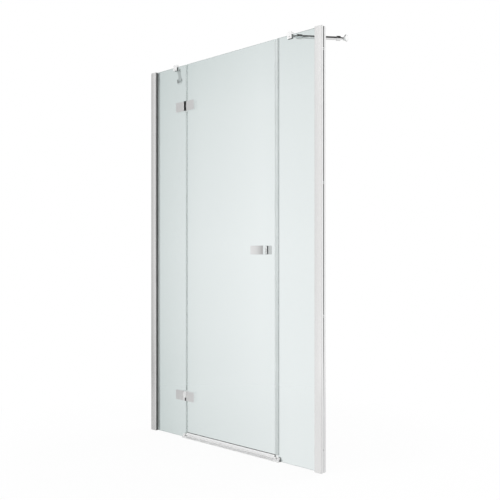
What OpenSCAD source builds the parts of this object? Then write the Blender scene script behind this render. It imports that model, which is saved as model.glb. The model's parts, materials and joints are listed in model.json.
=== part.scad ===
// Alcove shower screen: two fixed panes and a hinged glass door between two walls.
// Origin: middle of the span, on the shower tray, in the middle of the glass.
// +X runs along the screen to the right wall, +Y into the shower, +Z up.

/* [Screen] */
// Width from wall to wall
span_w = 1100; // [1000:10:1200]
// Height of the screen
screen_h = 1950; // [1850:10:2050]
// Distance from the left wall to the hinge line
left_bay_w = 257; // [230:1:320]
// Distance from the right wall to the middle of the closing seals
right_bay_w = 253; // [230:1:320]
// Thickness of the glass
glass_t = 6; // [5:1:8]
// Gap under the fixed panes
glass_lift = 1; // [0.5:0.5:3]
// Height of the door glass above the tray
door_lift = 18; // [16:1:24]

/* [Wall profiles] */
// Width of the profile's face
profile_face_w = 37; // [35:1:45]
// Depth of the profile, across the glass
profile_d = 38; // [36:1:46]
// Wall of the profile
profile_wall = 2; // [1.6:0.1:2.6]
// Radius of the profile's corners towards the glass
profile_corner_r = 4; // [2:0.5:5]
// Crown of the profile's face towards the room
profile_crown = 0.8; // [0.5:0.1:1.2]
// Width of the lip on each side of the glass pocket
lip_w = 6; // [5:0.5:7]
// Depth of the glass pocket
pocket_depth = 17; // [15:0.5:19]
// How far the glass enters the pocket
glass_entry = 15; // [12:0.5:15]
// Wall of the ribs beside the pocket
rib_t = 1.7; // [1.4:0.1:2]
// Gap between the profile and the wall
profile_wall_gap = 0.5; // [0.3:0.1:1]
// Web of the wall channel
channel_web_t = 3; // [2.5:0.1:4]
// Wall of the channel's legs
channel_leg_t = 1.7; // [1.4:0.1:1.7]
// Length of the channel's legs
channel_leg_l = 28; // [20:1:30]
// Width of the groove down the channel's back
groove_w = 8; // [7:0.5:10]
// Depth of the groove down the channel's back
groove_d = 1.4; // [1:0.1:1.6]
// Clearance between the sliding profile and the channel
slide_gap = 0.3; // [0.2:0.05:0.4]
// Thickness of the profile's top cap
cap_t = 2; // [1.5:0.5:3]
// Length of the cap's peg
cap_peg_l = 10; // [6:1:16]
// Diameter of the wall screw holes
wall_hole_d = 5.5; // [5:0.5:6.5]
// Distance of the end screw holes from the tray and the top
wall_hole_inset = 100; // [80:10:150]

/* [Profile gaskets] */
// Width of the gaskets' flaps on the profile's lips
gasket_flap_w = 2; // [1:0.5:2]
// Thickness of the gaskets' flaps
gasket_flap_t = 0.8; // [0.6:0.1:1.2]

/* [Profile screws] */
// Diameter of the profile screws
profile_screw_d = 4; // [3.5:0.1:4.5]
// Head diameter of the profile screws
profile_screw_head_d = 7.6; // [7:0.1:9]
// Head height of the profile screws
profile_screw_head_h = 2.2; // [1.8:0.1:2.8]
// Length of the profile screws under the head
profile_screw_l = 7; // [6:0.5:9]
// Distance of the profile screws from the wall
profile_screw_from_wall = 11; // [9:0.5:13]
// Distance of the end profile screws from the tray and the top
profile_screw_inset = 140; // [120:10:190]

/* [Hinges] */
// Distance of the hinge centres from the tray and the top of the glass
hinge_inset = 219; // [180:1:300]
// Width of a hinge leaf
leaf_w = 54; // [44:1:60]
// Height of a hinge
hinge_h = 50; // [44:1:60]
// Thickness of the outer leaf
leaf_t = 11; // [9:0.5:12]
// Width of the back plate
back_plate_w = 31; // [28:1:44]
// Height of the back plate
back_plate_h = 40; // [40:1:50]
// Thickness of the back plate
back_plate_t = 6; // [5.5:0.5:9]
// Corner radius of the leaves and the back plates
leaf_corner_r = 4; // [2:0.5:6]
// Thickness of the hinge gaskets
hinge_gasket_t = 1; // [0.8:0.1:1.5]
// Gap between the barrel and the edges of the leaves
leaf_barrel_gap = 3; // [1:0.5:4]
// Diameter of the barrel
barrel_d = 16; // [14:0.5:18]
// Diameter of the hinge pin
pin_d = 6; // [5:0.5:6.5]
// Wall of the hinge bush
bush_wall = 2; // [1.5:0.1:2.5]
// Height of the door's knuckle
door_knuckle_h = 16.4; // [14:0.2:18]
// Thickness of the necks between the barrel and the leaves
hinge_neck_t = 6; // [4:0.5:8]
// Radial clearance of the pins and bushes
running_gap = 0.05; // [0.03:0.01:0.08]
// Gap between knuckles
knuckle_gap = 0.3; // [0.2:0.05:0.5]
// Distance between the two screws of a leaf
hinge_screw_pitch = 24; // [20:1:28]
// Diameter of the hinge screws
hinge_screw_d = 5; // [4:0.5:6]
// Head diameter of the hinge screws
hinge_screw_head_d = 8.5; // [7.5:0.5:9.5]
// Head height of the hinge screws
hinge_screw_head_h = 3.5; // [3:0.5:4.5]
// Depth of the hinge screws in the outer leaf
hinge_screw_grip = 6; // [5:0.5:7]
// Gap round a screw or bolt in the glass
glass_hole_gap = 2; // [1.5:0.25:3]
// Extra diameter of a plain screw or bolt hole
screw_clearance = 0.4; // [0.2:0.1:0.8]
// Extra diameter of the recess round a screw or bolt head
head_clearance = 0.5; // [0.3:0.1:1]
// Gap between the barrel and the notch in the glass
notch_gap = 1.5; // [1:0.25:3]
// Gap above and below the hinge in that notch
notch_end_gap = 1; // [0.5:0.25:2]
// Distance of the gaskets from the edges of the plates
gasket_inset = 1; // [0.5:0.25:1.5]

/* [Seals] */
// Gap between the door glass and the hinge-side pane
hinge_gap = 5.5; // [5.5:0.5:9]
// Gap between the door glass and the closing-side pane
closing_gap = 12; // [11:0.5:16]
// Thickness of the seals' legs on the glass
seal_leg_t = 0.8; // [0.6:0.1:1.2]
// Length of the seals' legs on the glass
seal_leg_l = 5; // [4:0.5:10]
// Gap between a seal and what it meets
seal_gap = 0.3; // [0.2:0.05:0.5]
// Thickness of the hinge seal's web on the glass edge
seal_web_t = 1.2; // [1:0.1:1.5]
// Thickness of the magnet strips
magnet_t = 3; // [2.5:0.1:3.2]
// Width of the magnet strips
magnet_w = 7; // [5:0.5:7]
// Wall round the magnet strips
magnet_wall = 1; // [0.8:0.1:1.1]
// Clearance of the magnet strips in their seals
magnet_slack = 0.1; // [0.05:0.05:0.2]
// Distance of the magnet strips from the ends of their seals
magnet_end_gap = 4; // [2:1:10]
// Bottom of the upright seals above the tray
seal_bottom_z = 28; // [27:0.5:32]
// Height of the bottom seal's legs on the glass
sill_seal_leg_h = 8; // [6:0.5:9]
// Thickness of the bottom seal's web under the glass
bottom_web_t = 2; // [1.5:0.25:2.5]
// Thickness of the wiper
wiper_t = 1.2; // [0.8:0.1:1.6]
// Reach of the drip edge into the shower
drip_reach = 8; // [6:0.5:10]

/* [Threshold] */
// Height of the threshold
sill_h = 8; // [7:0.5:10]
// Height of the threshold's front and back edges
sill_edge_h = 4.5; // [3.5:0.5:5.5]
// Width of the threshold's slopes
sill_slope_w = 6; // [4:0.5:8]
// Wall of the threshold
sill_wall = 1.4; // [1.2:0.1:1.8]
// Length of an end block's arm beside the fixed pane
block_arm_l = 13.5; // [12:0.5:16]
// Length of an end block across the door gap
block_sill_l = 12; // [11:0.5:16]
// Height of an end block beside the glass
block_h = 20; // [18:0.5:22]
// Thickness of an end block's cheek at its top
block_cheek_t = 6; // [5:0.5:8]
// Chamfer along the top of an end block
block_chamfer = 2; // [1:0.5:3]
// Distance of the cheeks from the fixed pane's edge
block_cheek_inset = 2; // [1:0.5:4]
// Gap on each side of the glass in an end block
block_slot_gap = 0.15; // [0.1:0.05:0.3]
// Length of an end block's tongue in the threshold
block_tongue_l = 8; // [6:1:12]

/* [Handle] */
// Height of the handle's middle above the tray
handle_z = 975; // [900:5:1050]
// Distance of the handle from the door's closing edge
handle_edge = 56; // [45:1:80]
// Width of the handle
handle_w = 75; // [68:1:95]
// Height of the handle
handle_h = 41; // [36:1:50]
// Thickness of the outer grip
outer_grip_t = 17.5; // [16:0.5:20]
// Thickness of the outer base
outer_base_t = 6; // [5:0.5:8]
// Thickness of the inner grip
inner_grip_t = 29; // [24:0.5:32]
// Thickness of the inner base
inner_base_t = 4; // [3:0.5:6]
// Thickness of the spacer between the inner base and the inner grip
inner_spacer_t = 8; // [7:0.5:11]
// Depth of the dish in the grips' faces
grip_dish = 3; // [2:0.5:4]
// Thickness of the handle's gaskets
handle_gasket_t = 0.5; // [0.4:0.1:1]
// Distance between the handle's bolts
handle_bolt_pitch = 40; // [34:1:44]
// Diameter of the handle's bolts
handle_bolt_d = 6; // [5:0.5:8]
// Head diameter of the handle's bolts
handle_bolt_head_d = 10; // [9:0.5:12]
// Head height of the handle's bolts
handle_bolt_head_h = 5; // [4:0.5:7]
// Depth of the bolts in the outer grip
handle_bolt_grip = 10; // [8:0.5:12]
// Depth of the bolt heads below the inner grip's edges
handle_bolt_recess = 5; // [5:0.5:7]
// Distance of the bases from the grips' edges
handle_base_inset = 1; // [0.5:0.5:3]
// Distance of the handle's gaskets from the edges of the bases
handle_gasket_inset = 3.5; // [1:0.5:5]
// Corner radius of the bases, the spacer and their gaskets
handle_corner_r = 2; // [1:0.5:4]

/* [Stays] */
// Distance from the wall to the stay's clamp, along the glass
stay_along = 178; // [150:1:210]
// Distance from the glass to the stay's wall flange
stay_out = 197; // [160:1:220]
// Width of the glass clamp
clamp_w = 24; // [20:1:30]
// Wall of the glass clamp in front of the glass
clamp_wall = 5; // [4.5:0.5:7]
// Height of the clamp above the glass
clamp_above = 12; // [9:1:16]
// Height of the clamp below the top of the glass
clamp_below = 18; // [15:0.5:22]
// Distance of the rod's middle below the top of the glass
stay_drop = 2; // [0:0.5:5]
// Thickness of the clamp's liner
clamp_liner_t = 1.5; // [0.8:0.1:1.8]
// Distance of the liner from the clamp's sides
clamp_liner_inset = 0.25; // [0.25:0.25:2]
// Diameter of the clamp's grub screw
grub_d = 5; // [4:0.5:6]
// Distance of a swivel pin from what carries its fork
swivel_reach = 9; // [8.5:0.5:12]
// Diameter of the swivel pins
swivel_pin_d = 5; // [4:0.5:6]
// Radius of the swivel eyes and forks
swivel_r = 7; // [6:0.5:8]
// Thickness of the swivel eyes
eye_t = 6; // [5:0.5:7]
// Length of an eye's flat shank, from its round end
eye_shank_l = 6; // [4:1:8]
// Thickness of the fork plates
fork_t = 4; // [3:0.5:4.5]
// Diameter of the rod
rod_d = 16; // [15:0.5:18]
// Diameter of the spigots inside the rod
spigot_d = 12; // [11:0.5:12.5]
// Length of a spigot inside the rod
spigot_l = 15; // [12:1:25]
// Diameter of the collars
collar_d = 22; // [20:0.5:24]
// Length of the glass-side collar
glass_collar_l = 25; // [18:1:30]
// Length of the wall-side collar
wall_collar_l = 18; // [14:1:26]
// Distance from a swivel pin to the nearest collar
neck_l = 20; // [18:1:26]
// Diameter of the wall flange
flange_d = 32; // [30:1:40]
// Thickness of the wall flange
flange_t = 5; // [4:0.5:7]
// Distance between the wall flange's screw holes
flange_hole_pitch = 22; // [20:1:24]
// Diameter of the wall flange's screw holes
flange_hole_d = 3.5; // [3:0.5:4.5]

/* [Hidden] */
$fn = 48;
hex = 6;
// Sides of the large circles that crown and dish the faces
wide_sides = 720;
cut = 1;
// Share of a screw head's width and height that its hex socket takes
socket_share = 0.5;
half_span = span_w / 2;
half_glass = glass_t / 2;
half_profile = profile_d / 2;
crown_r = arc_radius(profile_face_w, profile_crown);

hinge_x = left_bay_w - half_span;
closing_x = half_span - right_bay_w;
half_hinge_gap = hinge_gap / 2;
pane_wall_inset = profile_face_w - glass_entry;
left_pane_x = [pane_wall_inset - half_span, hinge_x - half_hinge_gap];
door_pane_x = [hinge_x + half_hinge_gap, closing_x - closing_gap / 2];
right_pane_x = [closing_x + closing_gap / 2, half_span - pane_wall_inset];

hinge_zs = [hinge_inset, screen_h - hinge_inset];
leaf_inner_y = half_glass + hinge_gasket_t;
hinge_axis_y = -leaf_inner_y - leaf_t / 2;
barrel_r = barrel_d / 2;
leaf_setback = barrel_r + leaf_barrel_gap;
leaf_mid_x = leaf_setback + leaf_w / 2;
back_plate_mid_x = leaf_setback + back_plate_w / 2;
bush_d = pin_d + 2 * (running_gap + bush_wall);
notch_x = barrel_r + notch_gap;
notch_half_h = hinge_h / 2 + notch_end_gap;
back_head_y = leaf_inner_y + back_plate_t - hinge_screw_head_h;

profile_h = screen_h - cap_t;
wall_hole_zs = [for (i = [0:3]) wall_hole_inset + i * (screen_h - 2 * wall_hole_inset) / 3];
profile_screw_zs = [profile_screw_inset, screen_h / 2, screen_h - profile_screw_inset];
pocket_half = half_profile - lip_w;
pocket_floor = profile_face_w - pocket_depth;
rib_outer = pocket_half + rib_t;
cavity_half = half_profile - profile_wall;
channel_half = cavity_half - slide_gap;
rib_limit = min(rib_outer, channel_half - channel_leg_t - slide_gap);

box_half = magnet_w / 2 + magnet_wall + magnet_slack;
box_l = closing_gap / 2 - seal_gap / 2;

handle_x = [door_pane_x[1] - handle_edge - handle_w, door_pane_x[1] - handle_edge];
handle_mid_x = (handle_x[0] + handle_x[1]) / 2;
handle_bolt_xs = [for (s = [-1, 1]) handle_mid_x + s * handle_bolt_pitch / 2];
outer_base_y = -half_glass - handle_gasket_t - outer_base_t;
inner_base_y = half_glass + handle_gasket_t + inner_base_t;
inner_spacer_y = inner_base_y + inner_spacer_t;
inner_face_y = inner_spacer_y + inner_grip_t;
bolt_head_y = inner_face_y - handle_bolt_recess - handle_bolt_head_h;

sill_x = [hinge_x + block_sill_l, closing_x - block_sill_l];

clamp_x = half_span - stay_along;
clamp_slot = half_glass + clamp_liner_t;
clamp_half_d = clamp_slot + clamp_wall;
fork_in = eye_t / 2 + knuckle_gap;
stay_z = screen_h - stay_drop;
grub_z = screen_h - clamp_below / 2;
glass_pin = [clamp_x, clamp_half_d + swivel_reach];
wall_pin = [half_span - flange_t - swivel_reach, stay_out];
stay_vector = wall_pin - glass_pin;
stay_l = norm(stay_vector);
stay_angle = atan2(stay_vector[1], stay_vector[0]);

chrome = [0.80, 0.81, 0.82];
aluminium = [0.86, 0.87, 0.87];
glass_tint = [0.80, 0.90, 0.88, 0.35];
clear_seal = [0.72, 0.78, 0.77, 0.8];
dark_rubber = [0.12, 0.12, 0.13];
clear_gasket = [0.72, 0.74, 0.73];
white_plastic = [0.90, 0.91, 0.90];
pale_magnet = [0.78, 0.80, 0.79];
steel = [0.66, 0.67, 0.68];

// Radius of an arc from the width it spans and its rise
function arc_radius(w, rise) = (w * w / 4 + rise * rise) / (2 * rise);

// Placing helpers

// Extrudes an outline drawn in X and Z between two values of Y
module across(y_from, y_to) {
    translate([0, y_to, 0]) rotate([90, 0, 0]) linear_extrude(y_to - y_from) children();
}

// A round bar or hole along Y
module bar_y(x, z, d, y_from, y_to) {
    across(y_from, y_to) translate([x, z]) circle(d = d);
}

// The hex socket in a head of this diameter and height, with its face at y_face
module hex_socket(x, z, head_d, y_face, head_h) {
    across(y_face - head_h * socket_share, y_face + cut)
        translate([x, z]) circle(d = head_d * socket_share, $fn = hex);
}

// An outline drawn in Y and Z, extruded along X
module along_x(x_from, x_to) {
    translate([x_from, 0, 0]) rotate([90, 0, 90]) linear_extrude(x_to - x_from) children();
}

module rounded_square(w, h, r) {
    translate([-w / 2 + r, -h / 2]) square([w - 2 * r, h]);
    translate([-w / 2, -h / 2 + r]) square([w, h - 2 * r]);
    for (sx = [-1, 1], sy = [-1, 1])
        translate([sx * (w / 2 - r), sy * (h / 2 - r)]) circle(r);
}

// Children are drawn with X running from the wall into the opening
module at_left_wall() {
    translate([-half_span, 0, 0]) children();
}

module at_right_wall() {
    translate([half_span, 0, 0]) mirror([1, 0, 0]) children();
}

module at_both_walls() {
    at_left_wall() children();
    at_right_wall() children();
}

module at_hinge(i) {
    translate([hinge_x, 0, hinge_zs[i]]) children();
}

// The same piece on the frame's side of the hinge line
module frame_side() {
    mirror([1, 0, 0]) children();
}

// Wall profiles

module wall_channel_section() {
    difference() {
        translate([0, -channel_half]) square([channel_leg_l, 2 * channel_half]);
        translate([channel_web_t, -channel_half + channel_leg_t])
            square([channel_leg_l, 2 * (channel_half - channel_leg_t)]);
        translate([-cut, -groove_w / 2]) square([groove_d + cut, groove_w]);
    }
}

module wall_channel() {
    color(aluminium) difference() {
        linear_extrude(profile_h) wall_channel_section();
        for (z = wall_hole_zs)
            translate([-cut, 0, z]) rotate([0, 90, 0]) cylinder(d = wall_hole_d, h = channel_web_t + 2 * cut);
        for (z = profile_screw_zs)
            bar_y(profile_screw_from_wall, z, profile_screw_d + 2 * running_gap, 0, half_profile);
    }
}

module profile_outline() {
    r = profile_corner_r;
    intersection() {
        union() {
            translate([profile_wall_gap, -half_profile])
                square([profile_face_w - profile_wall_gap - r, profile_d]);
            translate([profile_wall_gap, -half_profile + r])
                square([profile_face_w - profile_wall_gap, profile_d - 2 * r]);
            for (s = [-1, 1])
                translate([profile_face_w - r, s * (half_profile - r)]) circle(r);
        }
        translate([profile_face_w / 2, crown_r - half_profile]) circle(crown_r, $fn = wide_sides);
    }
}

module glass_profile_section() {
    difference() {
        profile_outline();
        // Room for the wall channel and its legs
        translate([-cut, -cavity_half])
            square([pocket_floor - profile_wall + cut, 2 * cavity_half]);
        for (s = [0, 1])
            mirror([0, s]) translate([-cut, rib_limit])
                square([profile_face_w - profile_wall + cut, cavity_half - rib_limit]);
        // Pocket for the glass
        translate([pocket_floor, -pocket_half]) square([pocket_depth + cut, 2 * pocket_half]);
    }
}

module glass_profile() {
    color(aluminium) difference() {
        linear_extrude(profile_h) glass_profile_section();
        for (z = profile_screw_zs)
            bar_y(profile_screw_from_wall, z, profile_screw_d + 2 * running_gap, 0, half_profile + cut);
    }
}

// Fills the pocket beside the glass, with a flap that closes the pocket's edge
module gasket_section() {
    polygon([
        [pocket_floor, half_glass],
        [profile_face_w + gasket_flap_t, half_glass],
        [profile_face_w + gasket_flap_t, pocket_half + gasket_flap_w],
        [profile_face_w, pocket_half + gasket_flap_w],
        [profile_face_w, pocket_half],
        [pocket_floor, pocket_half]
    ]);
}

module glazing_gaskets() {
    color(dark_rubber) for (s = [0, 1])
        mirror([0, s, 0]) linear_extrude(profile_h) gasket_section();
}

module top_cap() {
    peg_half = channel_half - channel_leg_t - slide_gap;
    color(white_plastic) {
        translate([0, 0, profile_h]) linear_extrude(cap_t) difference() {
            profile_outline();
            translate([pane_wall_inset - slide_gap, -half_glass - slide_gap])
                square([profile_face_w, glass_t + 2 * slide_gap]);
        }
        translate([channel_web_t + slide_gap, -peg_half, profile_h - cap_peg_l])
            cube([pocket_floor - profile_wall - channel_web_t - 2 * slide_gap, 2 * peg_half, cap_peg_l]);
    }
}

module profile_screw(z) {
    difference() {
        union() {
            bar_y(profile_screw_from_wall, z, profile_screw_d, half_profile - profile_screw_l, half_profile);
            bar_y(profile_screw_from_wall, z, profile_screw_head_d,
                half_profile, half_profile + profile_screw_head_h);
        }
        hex_socket(profile_screw_from_wall, z, profile_screw_head_d,
            half_profile + profile_screw_head_h, profile_screw_head_h);
    }
}

module profile_screws() {
    color(steel) at_both_walls() for (z = profile_screw_zs) profile_screw(z);
}

// Glass

module hinge_cutouts(side) {
    for (z = hinge_zs) translate([hinge_x, z]) {
        square([2 * notch_x, 2 * notch_half_h], center = true);
        for (s = [-1, 1])
            translate([side * back_plate_mid_x, s * hinge_screw_pitch / 2])
                circle(d = hinge_screw_d + 2 * glass_hole_gap);
    }
}

module pane_outline(x_range, z_from) {
    translate([x_range[0], z_from]) square([x_range[1] - x_range[0], screen_h - z_from]);
}

module left_fixed_glass() {
    color(glass_tint) across(-half_glass, half_glass) difference() {
        pane_outline(left_pane_x, glass_lift);
        hinge_cutouts(-1);
    }
}

module right_fixed_glass() {
    color(glass_tint) across(-half_glass, half_glass) pane_outline(right_pane_x, glass_lift);
}

module door_glass() {
    color(glass_tint) across(-half_glass, half_glass) difference() {
        pane_outline(door_pane_x, door_lift);
        hinge_cutouts(1);
        handle_bolt_holes(2 * glass_hole_gap);
    }
}

// Hinges, drawn on the door's side of the hinge line

module leaf_outline(inset) {
    translate([leaf_mid_x, 0])
        rounded_square(leaf_w - 2 * inset, hinge_h - 2 * inset, leaf_corner_r - inset);
}

module back_plate_outline(inset) {
    translate([back_plate_mid_x, 0])
        rounded_square(back_plate_w - 2 * inset, back_plate_h - 2 * inset, leaf_corner_r - inset);
}

module leaf_screw_places() {
    for (s = [-1, 1]) translate([back_plate_mid_x, 0, s * hinge_screw_pitch / 2]) children();
}

module outer_leaf() {
    difference() {
        across(-leaf_inner_y - leaf_t, -leaf_inner_y) leaf_outline(0);
        leaf_screw_places()
            bar_y(0, 0, hinge_screw_d + 2 * running_gap, -leaf_inner_y - hinge_screw_grip, 0);
    }
}

// One knuckle with the neck that joins it to its leaf
module knuckle(z_from, z_to, bore_d) {
    translate([0, hinge_axis_y, z_from]) difference() {
        union() {
            cylinder(d = barrel_d, h = z_to - z_from);
            translate([barrel_r / 2, -hinge_neck_t / 2, 0])
                cube([leaf_setback + leaf_corner_r - barrel_r / 2, hinge_neck_t, z_to - z_from]);
        }
        translate([0, 0, -cut]) cylinder(d = bore_d, h = z_to - z_from + 2 * cut);
    }
}

module hinge_door_leaf(i) {
    color(chrome) at_hinge(i) {
        outer_leaf();
        knuckle(-door_knuckle_h / 2, door_knuckle_h / 2, bush_d + 2 * running_gap);
    }
}

module hinge_frame_leaf(i) {
    inner_z = door_knuckle_h / 2 + knuckle_gap;
    color(chrome) at_hinge(i) frame_side() {
        outer_leaf();
        knuckle(inner_z, hinge_h / 2, pin_d + 2 * running_gap);
        knuckle(-hinge_h / 2, -inner_z, pin_d + 2 * running_gap);
    }
}

module back_plate() {
    difference() {
        across(leaf_inner_y, leaf_inner_y + back_plate_t) back_plate_outline(0);
        leaf_screw_places() {
            bar_y(0, 0, hinge_screw_d + screw_clearance, 0, back_head_y + cut);
            bar_y(0, 0, hinge_screw_head_d + head_clearance,
                back_head_y, back_head_y + hinge_screw_head_h + cut);
        }
    }
}

module hinge_door_back_plate(i) {
    color(chrome) at_hinge(i) back_plate();
}

module hinge_frame_back_plate(i) {
    color(chrome) at_hinge(i) frame_side() back_plate();
}

// The leaf's gasket in front of the glass and the back plate's behind it
module hinge_gasket_pair() {
    difference() {
        union() {
            across(-leaf_inner_y, -half_glass) leaf_outline(gasket_inset);
            across(half_glass, leaf_inner_y) back_plate_outline(gasket_inset);
        }
        leaf_screw_places()
            bar_y(0, 0, hinge_screw_d + 2 * screw_clearance, -leaf_inner_y - cut, leaf_inner_y + cut);
    }
}

module hinge_door_gaskets() {
    color(clear_gasket) for (i = [0, 1]) at_hinge(i) hinge_gasket_pair();
}

module hinge_frame_gaskets() {
    color(clear_gasket) for (i = [0, 1]) at_hinge(i) frame_side() hinge_gasket_pair();
}

module hinge_screw_pair() {
    leaf_screw_places() difference() {
        union() {
            bar_y(0, 0, hinge_screw_d, -leaf_inner_y - hinge_screw_grip + seal_gap, back_head_y);
            bar_y(0, 0, hinge_screw_head_d, back_head_y, back_head_y + hinge_screw_head_h);
        }
        hex_socket(0, 0, hinge_screw_head_d, back_head_y + hinge_screw_head_h, hinge_screw_head_h);
    }
}

module hinge_door_screws() {
    color(steel) for (i = [0, 1]) at_hinge(i) hinge_screw_pair();
}

module hinge_frame_screws() {
    color(steel) for (i = [0, 1]) at_hinge(i) frame_side() hinge_screw_pair();
}

module hinge_pins() {
    color(steel) for (i = [0, 1])
        at_hinge(i) translate([0, hinge_axis_y, -hinge_h / 2]) cylinder(d = pin_d, h = hinge_h);
}

module hinge_bushes() {
    color(white_plastic) for (i = [0, 1]) at_hinge(i)
        translate([0, hinge_axis_y, -door_knuckle_h / 2]) difference() {
            cylinder(d = bush_d, h = door_knuckle_h);
            translate([0, 0, -cut]) cylinder(d = pin_d + 2 * running_gap, h = door_knuckle_h + 2 * cut);
        }
}

// Seals

module hinge_seal_section() {
    bulb_r = half_hinge_gap - seal_gap;
    web_x = half_hinge_gap - seal_web_t;
    difference() {
        union() {
            translate([web_x, -half_glass - seal_leg_t])
                square([seal_web_t, glass_t + 2 * seal_leg_t]);
            for (s = [0, 1]) mirror([0, s]) translate([web_x, half_glass])
                square([seal_web_t + seal_leg_l, seal_leg_t]);
            intersection() {
                circle(bulb_r);
                translate([-bulb_r, -bulb_r]) square([bulb_r + web_x + seal_web_t / 2, 2 * bulb_r]);
            }
        }
        intersection() {
            circle(bulb_r - seal_leg_t);
            translate([-bulb_r, -bulb_r]) square([bulb_r + web_x, 2 * bulb_r]);
        }
    }
}

module hinge_side_seal() {
    stops = [seal_bottom_z, hinge_zs[0], hinge_zs[1], screen_h];
    near = notch_half_h + seal_gap;
    color(clear_seal) translate([hinge_x, 0, 0]) for (k = [0:2]) {
        z_from = stops[k] + (k > 0 ? near : 0);
        z_to = stops[k + 1] - (k < 2 ? near : 0);
        translate([0, 0, z_from]) linear_extrude(z_to - z_from) hinge_seal_section();
    }
}

// The closing-side seal of the door, with its face half a seal gap short of the middle
module magnetic_seal_section() {
    edge = -closing_gap / 2;
    difference() {
        union() {
            translate([edge, -box_half]) square([box_l, 2 * box_half]);
            for (s = [0, 1]) mirror([0, s]) translate([edge - seal_leg_l, half_glass])
                square([seal_leg_l + magnet_wall, seal_leg_t]);
        }
        translate([-seal_gap / 2 - magnet_wall - magnet_t - magnet_slack, -magnet_w / 2 - magnet_slack])
            square([magnet_t + magnet_slack, magnet_w + 2 * magnet_slack]);
    }
}

module magnetic_seal() {
    color(clear_seal) translate([0, 0, seal_bottom_z])
        linear_extrude(screen_h - seal_bottom_z) magnetic_seal_section();
}

module magnet_strip() {
    z_from = seal_bottom_z + magnet_end_gap;
    color(pale_magnet) translate([-seal_gap / 2 - magnet_wall - magnet_t, -magnet_w / 2, z_from])
        cube([magnet_t, magnet_w, screen_h - magnet_end_gap - z_from]);
}

module door_magnetic_seal() {
    translate([closing_x, 0, 0]) magnetic_seal();
}

module door_magnet_strip() {
    translate([closing_x, 0, 0]) magnet_strip();
}

module panel_magnetic_seal() {
    translate([closing_x, 0, 0]) mirror([1, 0, 0]) magnetic_seal();
}

module panel_magnet_strip() {
    translate([closing_x, 0, 0]) mirror([1, 0, 0]) magnet_strip();
}

module bottom_seal_section() {
    web_z = door_lift - bottom_web_t;
    wiper_z = sill_h + seal_gap;
    outer_y = half_glass + seal_leg_t;
    translate([-outer_y, web_z]) square([2 * outer_y, bottom_web_t]);
    for (s = [-1, 1])
        translate([s * (half_glass + seal_leg_t / 2) - seal_leg_t / 2, door_lift - cut])
            square([seal_leg_t, sill_seal_leg_h + cut]);
    // Two wipers that stand on the threshold
    for (s = [-1, 1])
        translate([s * (half_glass - wiper_t) - wiper_t / 2, wiper_z])
            square([wiper_t, web_z - wiper_z + cut]);
    // Drip edge that throws water back into the shower
    polygon([
        [half_glass, web_z + wiper_t],
        [outer_y, web_z + wiper_t],
        [outer_y + drip_reach, wiper_z + wiper_t],
        [outer_y + drip_reach, wiper_z],
        [outer_y + drip_reach - wiper_t, wiper_z],
        [half_glass, web_z]
    ]);
}

module door_bottom_seal() {
    color(clear_seal) along_x(door_pane_x[0] + half_hinge_gap, door_pane_x[1] - seal_gap)
        bottom_seal_section();
}

// Threshold

function sill_points(i) = [
    [-half_profile + i, i],
    [half_profile - i, i],
    [half_profile - i, sill_edge_h - i / 2],
    [half_profile - sill_slope_w - i / 2, sill_h - i],
    [-half_profile + sill_slope_w + i / 2, sill_h - i],
    [-half_profile + i, sill_edge_h - i / 2]
];

module threshold() {
    color(aluminium) along_x(sill_x[0], sill_x[1]) difference() {
        polygon(sill_points(0));
        polygon(sill_points(sill_wall));
    }
}

// End block of the threshold, drawn with the door gap at x = 0 and the fixed pane towards -x
module end_block(pane_edge) {
    arm_end = -pane_edge - block_arm_l;
    slot_half = half_glass + block_slot_gap;
    cheek_y = slot_half + block_cheek_t;
    difference() {
        union() {
            along_x(arm_end, block_sill_l) polygon(sill_points(0));
            along_x(arm_end, -pane_edge - block_cheek_inset) polygon([
                [-half_profile + sill_slope_w, sill_h - cut],
                [half_profile - sill_slope_w, sill_h - cut],
                [cheek_y, block_h - block_chamfer],
                [cheek_y - block_chamfer, block_h],
                [block_chamfer - cheek_y, block_h],
                [-cheek_y, block_h - block_chamfer]
            ]);
            along_x(block_sill_l - cut, block_sill_l + block_tongue_l)
                polygon(sill_points(sill_wall + seal_gap));
        }
        // Slot for the corner of the fixed pane
        translate([arm_end - cut, -slot_half, -cut])
            cube([block_arm_l + cut + seal_gap, 2 * slot_half, block_h + 2 * cut]);
    }
}

module left_end_block() {
    color(white_plastic) translate([hinge_x, 0, 0]) end_block(half_hinge_gap);
}

module right_end_block() {
    color(white_plastic) translate([closing_x, 0, 0]) mirror([1, 0, 0]) end_block(closing_gap / 2);
}

// Handle

// Grip with its base at y = 0 and its dished face towards -y
module grip(t) {
    dish_r = arc_radius(handle_w, grip_dish);
    translate([0, 0, handle_z - handle_h / 2]) linear_extrude(handle_h) difference() {
        translate([handle_x[0], -t]) square([handle_w, t]);
        translate([handle_mid_x, grip_dish - t - dish_r]) circle(dish_r, $fn = wide_sides);
    }
}

// Bolt holes of a flat piece of the handle, drawn in X and Z
module handle_bolt_holes(clearance) {
    for (x = handle_bolt_xs) translate([x, handle_z]) circle(d = handle_bolt_d + clearance);
}

// A flat piece of the handle, drawn in X and Z
module handle_plate(inset, clearance) {
    difference() {
        translate([handle_mid_x, handle_z])
            rounded_square(handle_w - 2 * inset, handle_h - 2 * inset, handle_corner_r);
        handle_bolt_holes(clearance);
    }
}

module handle_outer_grip() {
    color(chrome) difference() {
        translate([0, outer_base_y, 0]) grip(outer_grip_t);
        for (x = handle_bolt_xs)
            bar_y(x, handle_z, handle_bolt_d + 2 * running_gap, outer_base_y - handle_bolt_grip, 0);
    }
}

module handle_outer_base() {
    color(chrome) across(outer_base_y, outer_base_y + outer_base_t)
        handle_plate(handle_base_inset, screw_clearance);
}

module handle_inner_base() {
    color(chrome) across(inner_base_y - inner_base_t, inner_base_y)
        handle_plate(handle_base_inset, screw_clearance);
}

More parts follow.
